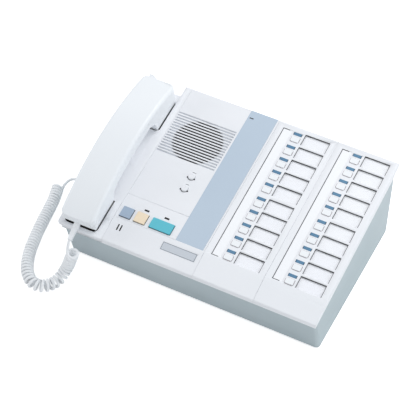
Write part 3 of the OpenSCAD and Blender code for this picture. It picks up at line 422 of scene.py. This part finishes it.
case_plastic = moulded("case_plastic", srgb(190, 202, 207), srgb(184, 197, 202),
                       roughness=0.5, grain=0.0006, depth=0.00006)
finish_piece(dressed("lower_case", "case_walls"), "base", "grey_shell", case_plastic, "lower_case")

foot_rubber = moulded("foot_rubber", srgb(34, 34, 35), srgb(26, 26, 27),
                      roughness=0.75, grain=0.0012, depth=0.00006)
paint(foot_rubber, "rubber_feet")
paint(black_part, "cord_socket", "line_socket")

# ---------------------------------------------------------------------------
# Covers: four mouldings of near-white plastic side by side, with the finest of
# seams between them. The cradle's two wells are moulded into the left one, and the
# speaker's slots into the next. Places are in millimetres in the top's own axes.

cover_plastic = moulded("cover_plastic", srgb(242, 243, 247), srgb(237, 239, 243),
                        roughness=0.5, grain=0.0005, depth=0.00004, specular=0.25)

# The covers' level face, and the apron that leans down from it to the lip at the front
FACE_W, APRON_V, LIP_V, LIP_W = 11.8, 31, -2, 6.5
LEAN = math.atan((FACE_W - LIP_W) / (APRON_V - LIP_V))
APRON = TOP @ Matrix.Translation(Vector((0, APRON_V, FACE_W)) / 1000) @ Matrix.Rotation(LEAN, 4, "X")


def top_place(tree):
    """The place on the top, for masks that follow it."""
    slope = tree.nodes.new("ShaderNodeMapping")
    slope.vector_type = "TEXTURE"
    fill(tree, slope, {"Vector": add_node(tree, "TexCoord", {}, "Object"), "Location": (0, FRONT_Y, FRONT_H),
                       "Rotation": (SLOPE, 0, 0), "Scale": (0.001, 0.001, 0.001)})
    return slope.outputs["Vector"]


def split(tree, place):
    """The u, v and w of a place."""
    axes = tree.nodes.new("ShaderNodeSeparateXYZ")
    tree.links.new(place, axes.inputs["Vector"])
    return tuple(axes.outputs)


def between(tree, value, low, high, soft):
    """A mask that is 1 between two values and fades at both, over a soft edge."""
    return maths(tree, "MULTIPLY", ramp(tree, value, low, low + soft), ramp(tree, value, high, high - soft))


def lay_over(tree, mask, colour):
    """Lays a colour over the plastic's own where the mask is 1."""
    base_colour = tree.nodes["Principled BSDF"].inputs["Base Color"]
    tree.links.new(mixed(tree, mask, base_colour.links[0].from_socket, colour), base_colour)


# Painted shade: below the face the wells are painted dark grey, so that the handset stands out of a dark,
# shaded gap
WELL_U, MOUTH_WELL_V, EAR_WELL_V = (-165.2, -116.1), (3.1, 50.4), (159.7, 208.5)
SOFT = 0.2
cradle_shaded_plastic = cover_plastic.copy()
cradle_shaded_plastic.name = "cradle_shaded_plastic"
tree = cradle_shaded_plastic.node_tree
u, v, w = split(tree, top_place(tree))
below_face = ramp(tree, w, FACE_W - SOFT, FACE_W - 2 * SOFT)
wells = maths(tree, "MULTIPLY", between(tree, u, *WELL_U, SOFT), below_face)
over_apron = maths(tree, "MULTIPLY_ADD", v, -math.tan(LEAN), w)
apron_w = FACE_W - APRON_V * math.tan(LEAN)
mouth_well_shade = maths(tree, "MULTIPLY", between(tree, v, *MOUTH_WELL_V, SOFT),
                   ramp(tree, over_apron, apron_w - 0.3, apron_w - 0.6))
# Painted shade: dark grey over the mouth's well and the ear's well
for well in (mouth_well_shade, between(tree, v, *EAR_WELL_V, SOFT)):
    lay_over(tree, maths(tree, "MULTIPLY", well, wells), srgb(66, 63, 62))
finish_piece(dressed("cradle_cover", "cradle"), "base", "shell", cradle_shaded_plastic, "cradle_cover")


def bar(name, size, place, ground=TOP):
    """A bar of the size given in millimetres, with place as its middle on the top or the apron."""
    bpy.ops.object.select_all(action="DESELECT")
    bpy.ops.mesh.primitive_cube_add(size=1)
    piece = bpy.context.active_object
    piece.name = piece.data.name = name
    scaled = Matrix.Diagonal((*[s / 1000 for s in size], 1))
    piece.data.transform(ground @ Matrix.Translation(Vector(place) / 1000) @ scaled)
    return piece


# Webs that round the two front corners of the mouth's well: a block bored out to the corner's radius
WEB_R, WEB_DEEP, WELL_FRONT_V = 5, 4.4, 3.3
for name, corner_u, turn in (("left", -162, 0), ("right", -117.8, 90)):
    web = bar("well_corner_" + name, (WEB_R, WEB_R, WEB_DEEP), (WEB_R / 2, WEB_R / 2, -WEB_DEEP / 2),
              Matrix.Identity(4))
    bpy.ops.object.select_all(action="DESELECT")
    bpy.ops.mesh.primitive_cylinder_add(vertices=64, radius=WEB_R / 1000, depth=0.02,
                                        location=(WEB_R / 1000, WEB_R / 1000, 0))
    bore = bpy.context.active_object
    hollow = web.modifiers.new("bored_corner", "BOOLEAN")
    hollow.object = bore
    hollow.operation = "DIFFERENCE"
    hollow.solver = "EXACT"
    select_only(web)
    bpy.ops.object.modifier_apply(modifier=hollow.name)
    bpy.data.objects.remove(bore)
    corner = Matrix.Translation(Vector((corner_u, WELL_FRONT_V - APRON_V, -0.03)) / 1000)
    web.data.transform(APRON @ corner @ Matrix.Rotation(math.radians(turn), 4, "Z"))
    smooth(web, 30)
    finish_piece(web, "base", "shell", cradle_shaded_plastic)

# Painted shade inside the grille's slots: near black over the speaker, and pale grey in the blind ends
GRILLE_V, GRILLE_U_TO, SPEAKER_AT = (134, 200), -28.3, (-65.5, 165.5, 10.5)
grille_shaded_plastic = cover_plastic.copy()
grille_shaded_plastic.name = "grille_shaded_plastic"
tree = grille_shaded_plastic.node_tree
place = top_place(tree)
u, v, w = split(tree, place)
from_speaker = tree.nodes.new("ShaderNodeVectorMath")
from_speaker.operation = "DISTANCE"
fill(tree, from_speaker, {0: place, 1: SPEAKER_AT})
field = maths(tree, "MULTIPLY", between(tree, v, *GRILLE_V, 0.5),
              ramp(tree, u, GRILLE_U_TO, GRILLE_U_TO - 0.2))
slots = maths(tree, "MULTIPLY", ramp(tree, w, FACE_W - 0.3, FACE_W - 0.6), field)
# Painted shade: pale grey in every slot, then near black in the slots over the speaker's cone
lay_over(tree, slots, srgb(222, 226, 233))
over_cone = ramp(tree, from_speaker.outputs["Value"], 32.5, 30)
lay_over(tree, maths(tree, "MULTIPLY", slots, over_cone), srgb(44, 44, 48))
finish_piece(dressed("control_cover", "control_top"), "base", "shell", grille_shaded_plastic, "control_cover")

panel_plastic = moulded("panel_plastic", srgb(244, 245, 249), srgb(240, 242, 246),
                        roughness=0.42, grain=0.0005, depth=0.00004, specular=0.25)
for side in ("left", "right"):
    node = "station_panel_" + side
    finish_piece(dressed(node, "station_top_" + side), "base", "shell", panel_plastic, node)

# Painted shade: a strip of black felt fills the top of each of the microphone's two slots, so they read dark
slot_shade = moulded("slot_shade", srgb(22, 22, 23), srgb(14, 14, 15), roughness=0.9, grain=0.0005, depth=0.00004)
for i, slot_u in enumerate((-97, -93)):
    strip = bar("microphone_slot_shade_%d" % (i + 1), (1.6, 7.9, 0.5), (slot_u, -11, -0.2), APRON)
    finish_piece(strip, "base", "black", slot_shade)
paint(black_part, "microphone")

paint(cover_plastic, "handset_volume_knob", "speaker_volume_knob", "hook_plunger")

# ---------------------------------------------------------------------------
# Colour band and bare plate: a blue-grey laminate let into the control cover, and
# a small satin metal plate in the apron, with a fine printed border.

band_laminate = moulded("band_laminate", srgb(191, 206, 221), srgb(187, 202, 218),
                        roughness=0.42, grain=0.0003, depth=0.00001)
paint(band_laminate, "trim_band")

satin_plate = plated("satin_plate", srgb(222, 227, 234), srgb(204, 210, 219),
                     roughness=0.45, stretch=(150, 4000, 4000), metallic=0.45)
paint(satin_plate, "label_plate")


def joined(pieces, name):
    bpy.ops.object.select_all(action="DESELECT")
    for piece in pieces:
        piece.select_set(True)
    bpy.context.view_layer.objects.active = pieces[0]
    bpy.ops.object.join()
    pieces[0].name = pieces[0].data.name = name
    return pieces[0]


def outline(middle, apart, lengths, line, thick, ground=TOP):
    """Four thin bars round a middle: how far apart they stand, and how long they are, along u and v."""
    u, v, w = middle
    bars = []
    for side in (-0.5, 0.5):
        bars.append(bar("edge", (lengths[0], line, thick), (u, v + side * apart[1], w), ground))
        bars.append(bar("edge", (line, lengths[1], thick), (u + side * apart[0], v, w), ground))
    return bars


plate_ink = moulded("plate_ink", srgb(128, 136, 144), srgb(116, 124, 132), roughness=0.5, depth=0.00001)
PLATE_AT, BORDER_L, BORDER_B, LINE = (-15.9, -11.8, 0.11), 44, 9.7, 0.5
plate_lines = outline(PLATE_AT, (BORDER_L - LINE, BORDER_B - LINE), (BORDER_L, BORDER_B - 2 * LINE),
                      LINE, 0.1, APRON)
finish_piece(joined(plate_lines, "plate_border"), "base", "label_plate", plate_ink)

# ---------------------------------------------------------------------------
# Function buttons: three moulded caps with rounded edges. Off is blue-grey, call
# all is cream, and the wide talk button is cyan.

def round_edges(piece, width):
    """Rounds the sharp edges of a piece, as its mould does."""
    bevel = piece.modifiers.new("mould_radius", "BEVEL")
    bevel.width = width
    bevel.segments = 3
    bevel.limit_method = "ANGLE"
    bevel.angle_limit = math.radians(40)
    bevel.use_clamp_overlap = True
    select_only(piece)
    bpy.ops.object.modifier_apply(modifier=bevel.name)
    smooth(piece, 30)
    return piece


for node, name, part_slot, colour, darker in (
        ("off_button", "off_cap", "blue_grey", srgb(168, 186, 206), srgb(162, 180, 201)),
        ("all_call_button", "call_cap", "cream", srgb(250, 232, 205), srgb(246, 227, 198)),
        ("talk_button", "talk_cap", "cyan", srgb(98, 196, 213), srgb(91, 189, 207))):
    cap_plastic = moulded(name + "_plastic", colour, darker, roughness=0.35, grain=0.0005, depth=0.00002)
    finish_piece(round_edges(dressed(node, name), 0.0005), node, part_slot, cap_plastic, node)

# Painted shade: a dark line along each button's hole, in front of the cap and at its right, where the gap is
# in shade
gap_shade = moulded("gap_shade", srgb(60, 62, 66), srgb(50, 52, 56), roughness=0.7, depth=0.00001)
HOLE_FRONT_V, HOLE_V, EDGE, EDGE_THICK = 33.7, 41, 0.5, 0.16
for name, left_u, wide in (("off", -102.8, 14.2), ("call", -84.0, 14.6), ("talk", -63.5, 28.4)):
    front = bar("edge", (wide + 0.2, EDGE, EDGE_THICK), (left_u + wide / 2, HOLE_FRONT_V, FACE_W))
    right = bar("edge", (EDGE, 14.4, EDGE_THICK), (left_u + wide + 0.2, HOLE_V, FACE_W))
    finish_piece(joined([front, right], name + "_hole_edge"), "base", "black", gap_shade)

# ---------------------------------------------------------------------------
# Station keys: small moulded white caps, one in each row of both panels, that stand
# a millimetre proud of their panel. A faint warm line shows round each key's hole.

key_plastic = moulded("key_plastic", srgb(247, 249, 252), srgb(243, 246, 249),
                      roughness=0.36, grain=0.0005, depth=0.00002)
for number in range(1, 21):
    node = "station_key_%02d" % number
    cap = round_edges(dressed(node, "key_cap_%02d" % number), 0.0003)
    finish_piece(cap, node, "shell", key_plastic, node)

# The left edges of the two panels, and the middle of each row's window, with a wider gap after five
STATION_U, ROWS = (12, 90), 10
ROW_V = [220.3 - 19.9 * i - (2 if i >= 5 else 0) for i in range(ROWS)]
KEY_U, KEY_V = 28.8, -3.6
HOLE_SIZE, HOLE_LINES = (11.4, 8.4), (9.2, 6.4)
hole_ink = moulded("hole_ink", srgb(186, 172, 174), srgb(178, 164, 167), roughness=0.6, depth=0.00001)
for p in range(2):
    edges = []
    for row in ROW_V:
        key_at = (STATION_U[p] + KEY_U, row + KEY_V, FACE_W)
        edges += outline(key_at, HOLE_SIZE, HOLE_LINES, 0.4, 0.12)
    finish_piece(joined(edges, "key_hole_edges_%d" % (p + 1)), "base", "shell", hole_ink)

# ---------------------------------------------------------------------------
# Lamps: a bar of blue plastic over each key, lit from below and here unlit, with
# darker ends, and three small status lamps with dark lenses.

lamp_lens = moulded("lamp_lens", srgb(96, 140, 172), srgb(82, 126, 160),
                    roughness=0.25, grain=0.001, depth=0.00005, coat=0.3)
tree = lamp_lens.node_tree
from_first = maths(tree, "SUBTRACT", split(tree, top_place(tree))[0], STATION_U[0] + KEY_U)
from_middle = maths(tree, "PINGPONG", from_first, (STATION_U[1] - STATION_U[0]) / 2)
lay_over(tree, ramp(tree, from_middle, 4.4, 5.1), srgb(46, 72, 92))
paint(lamp_lens, "station_lamps")

dark_lens = moulded("dark_lens", srgb(14, 11, 13), srgb(10, 8, 10), roughness=0.5, grain=0.001, depth=0.00002)
paint(dark_lens, "status_lamps")
LAMP_V, RIM_SIZE, RIM_LINES = 53.2, (5.8, 2.1), (6.1, 1.9)
for name, lamp_u in (("call", -75.3), ("talk", -48.6)):
    rims = outline((lamp_u, LAMP_V, FACE_W), RIM_SIZE, RIM_LINES, 0.35, 0.14)
    finish_piece(joined(rims, name + "_lamp_rim"), "base", "black", dark_lens)

# ---------------------------------------------------------------------------
# Name cards: pale card in each window and in the two long strips. A clear cover
# snaps in over each window's card, and shows it with the faintest haze.

card_paper = moulded("card_paper", srgb(252, 253, 255), srgb(249, 250, 254),
                     roughness=0.8, grain=0.0003, depth=0.00001)
paint(card_paper, "name_cards")

clear_cover, tree, shader = blank("clear_cover")
haze = tree.nodes.new("ShaderNodeGroup")
haze.node_tree = grain_group
fill(tree, shader, {"Base Color": srgb(235, 236, 248), "Roughness": 0.1, "IOR": 1.49,
                    "Alpha": ramp(tree, haze.outputs["Shade"], 0, 1, 0.03, 0.05)})


def on_window(piece, name, p, i):
    """A copy of the first window's piece for window i of panel p."""
    copy = bpy.data.objects.new("%s_%d_%02d" % (name, p + 1, i + 1), piece.data.copy())
    scene.collection.objects.link(copy)
    shift = Vector((STATION_U[p] - STATION_U[0], ROW_V[i] - ROW_V[0], 0)) / 1000
    copy.data.transform(Matrix.Translation(TOP.to_3x3() @ shift))
    return copy


WINDOW_L, WINDOW_B, WINDOW_U = 32.4, 16.8, STATION_U[0] + 53.8
COVER_THICK, COVER_W = 0.6, 10.42
covers = [bar("clear_cover_1_01", (WINDOW_L, WINDOW_B, COVER_THICK), (WINDOW_U, ROW_V[0], COVER_W))]
covers += [on_window(covers[0], "clear_cover", p, i) for p in range(2) for i in range(ROWS) if p or i]
finish_piece(joined(covers, "clear_covers"), "base", "clear", clear_cover, "card_windows")

# ---------------------------------------------------------------------------
# Dark edges at the windows and strips: painted shadow in dark bars along the rear and both sides of each
# clear cover, where the window's rim throws shade on its card, and a fine dark line round the left side and
# both ends of each long strip.

# Painted shadow: a dark bar along the rear of each clear cover and one down each side
SHADOW_W, SHADOW_THICK = 11.05, 0.5
REAR_SHADOW_V, REAR_SHADOW_B = ROW_V[0] + 8.0, 0.9
SIDE_SHADOW_U, SIDE_SHADOW_V, SIDE_SHADOW_B, SIDE_SHADOW_L = 15.95, ROW_V[0] + 0.1, 0.55, 15.9
window_shadow_ink = moulded("window_shadow_ink", srgb(44, 44, 46), srgb(36, 36, 38), roughness=0.8, depth=0.00002)
shadow_bars = [bar("shadow_bar", (WINDOW_L, REAR_SHADOW_B, SHADOW_THICK), (WINDOW_U, REAR_SHADOW_V, SHADOW_W))]
for side in (-1, 1):
    shadow_bars.append(bar("shadow_bar", (SIDE_SHADOW_B, SIDE_SHADOW_L, SHADOW_THICK),
                     (WINDOW_U + side * SIDE_SHADOW_U, SIDE_SHADOW_V, SHADOW_W)))
window_shadow = joined(shadow_bars, "window_shadow_1_01")
for p in range(2):
    for i in range(ROWS):
        shadow_bar = on_window(window_shadow, "window_shadow", p, i) if p or i else window_shadow
        finish_piece(shadow_bar, "base", "black", window_shadow_ink)

# A fine dark line along the left side and both ends of each long strip
STRIP_U, STRIP_V, STRIP_B, STRIP_L = 8.3, 129.6, 8.2, 196.0
END_LINES = ((227.2, 0.8), (31.95, 0.7))
LINE_B, LINE_THICK, LINE_W = 0.8, 0.2, 11.5
strip_line_dark = moulded("strip_line_dark", srgb(70, 70, 74), srgb(60, 60, 64), roughness=0.6, depth=0.00001)
for p in range(2):
    strip_u = STATION_U[p] + STRIP_U
    lines = [bar("line", (LINE_B, STRIP_L, LINE_THICK), (strip_u + 0.55, STRIP_V, LINE_W))]
    for end_v, end_b in END_LINES:
        lines.append(bar("line", (STRIP_B, end_b, LINE_THICK), (strip_u + 5.05, end_v, LINE_W)))
    finish_piece(joined(lines, "strip_line_%d" % (p + 1)), "base", "black", strip_line_dark)

# ---------------------------------------------------------------------------
# Marks at the volume knobs: a printed arc in front of each knob that ends in two
# dots, the range through which the knob turns, and a short line behind it.

KNOB_U, KNOBS_V = -49, (117.5, 99.1)
ARC_R, ARC_HALF_LINE, ARC_TO_Y = 0.0047, 0.0003, -0.002
DOT_R, DOT_X, DOT_Y, DEEP = 0.0013, 0.0043, -0.0018, 0.0008
LINE_SIZE, LINE_AT = (4.6, 0.5, 0.8), (0.4, 6.6, 0)
mark_ink = moulded("mark_ink", srgb(40, 40, 43), srgb(32, 32, 35), roughness=0.7, depth=0.00001)
for k, knob_v in enumerate(KNOBS_V):
    bpy.ops.object.select_all(action="DESELECT")
    bpy.ops.mesh.primitive_torus_add(major_radius=ARC_R, minor_radius=ARC_HALF_LINE,
                                     major_segments=48, minor_segments=8)
    marks = [bpy.context.active_object]
    bpy.ops.object.mode_set(mode="EDIT")
    bpy.ops.mesh.select_all(action="SELECT")
    bpy.ops.mesh.bisect(plane_co=(0, ARC_TO_Y, 0), plane_no=(0, 1, 0), clear_outer=True, use_fill=True)
    bpy.ops.object.mode_set(mode="OBJECT")
    for side in (-1, 1):
        bpy.ops.object.select_all(action="DESELECT")
        bpy.ops.mesh.primitive_cylinder_add(vertices=20, radius=DOT_R, depth=DEEP,
                                            location=(side * DOT_X, DOT_Y, 0))
        bpy.ops.object.transform_apply(location=True)
        marks.append(bpy.context.active_object)
    marks.append(bar("line", LINE_SIZE, LINE_AT, Matrix.Identity(4)))
    printed = joined(marks, "volume_marks_%d" % (k + 1))
    flat = Matrix.Diagonal((1, 1, 0.1, 1))
    printed.data.transform(TOP @ Matrix.Translation(Vector((KNOB_U, knob_v, FACE_W)) / 1000) @ flat)
    smooth(printed, 40)
    finish_piece(printed, "base", "black", mark_ink)

# ---------------------------------------------------------------------------
# Inside: a black paper cone with a ferrite magnet behind it, green boards with their
# black switches, and the switch that the handset works through its plunger.

cone_paper = moulded("cone_paper", srgb(28, 28, 30), srgb(20, 20, 22),
                     roughness=0.85, grain=0.0008, depth=0.0001)
paint(cone_paper, "speaker_cone")
ferrite = moulded("ferrite", srgb(62, 62, 66), srgb(50, 50, 54), roughness=0.6, grain=0.001, depth=0.00008)
paint(ferrite, "speaker_magnet")
board_laminate = moulded("board_laminate", srgb(44, 104, 66), srgb(36, 92, 58),
                         roughness=0.35, grain=0.002, depth=0.00002, coat=0.2)
paint(board_laminate, "main_board", "key_boards")
paint(black_part, "key_switches", "hook_switch")

# ---------------------------------------------------------------------------
# Studio: a white floor that keeps the station's soft shadow, one large lamp high
# behind it at the right, a weak one at each side, and plain white light all round.

bpy.ops.object.select_all(action="DESELECT")
bpy.ops.mesh.primitive_plane_add(size=12, location=(0, 0, 0))
floor = bpy.context.active_object
floor.name = "floor"
floor_paint, tree, shader = blank("floor_paint")
lift = maths(tree, "MULTIPLY", add_node(tree, "LightPath", {}, "Is Camera Ray"), 0.6)
fill(tree, shader, {"Base Color": (0.9, 0.9, 0.9, 1), "Roughness": 0.9, "Specular IOR Level": 0.1,
                    "Emission Color": (1, 1, 1, 1), "Emission Strength": lift})
floor.data.materials.append(floor_paint)

# The world is a little brighter where the camera sees it than where it lights the part
world = bpy.data.worlds.new("studio")
scene.world = world
world.use_nodes = True
tree = world.node_tree
strength = ramp(tree, add_node(tree, "LightPath", {}, "Is Camera Ray"), 0, 1, 0.68, 1.05)
fill(tree, tree.nodes["Background"], {"Color": (0.95, 0.975, 1.0, 1), "Strength": strength})


def lamp(name, place, aim, size, power, colour=(1, 1, 1)):
    data = bpy.data.lights.new(name, "AREA")
    data.shape = "DISK"
    data.size = size
    data.energy = power
    data.color = colour
    stand = bpy.data.objects.new(name, data)
    scene.collection.objects.link(stand)
    stand.location = place
    stand.rotation_euler = (Vector(aim) - Vector(place)).to_track_quat("-Z", "Y").to_euler()


lamp("key_lamp", (0.62, 1.4, 2.05), (0, 0, 0.05), size=1.5, power=22)
lamp("left_lamp", (-1.9, -0.1, 0.9), (-0.15, 0, 0.05), size=1.2, power=6)
lamp("right_lamp", (1.9, -0.3, 0.8), (0, 0, 0.05), size=1.2, power=5, colour=(0.9, 0.97, 1.0))
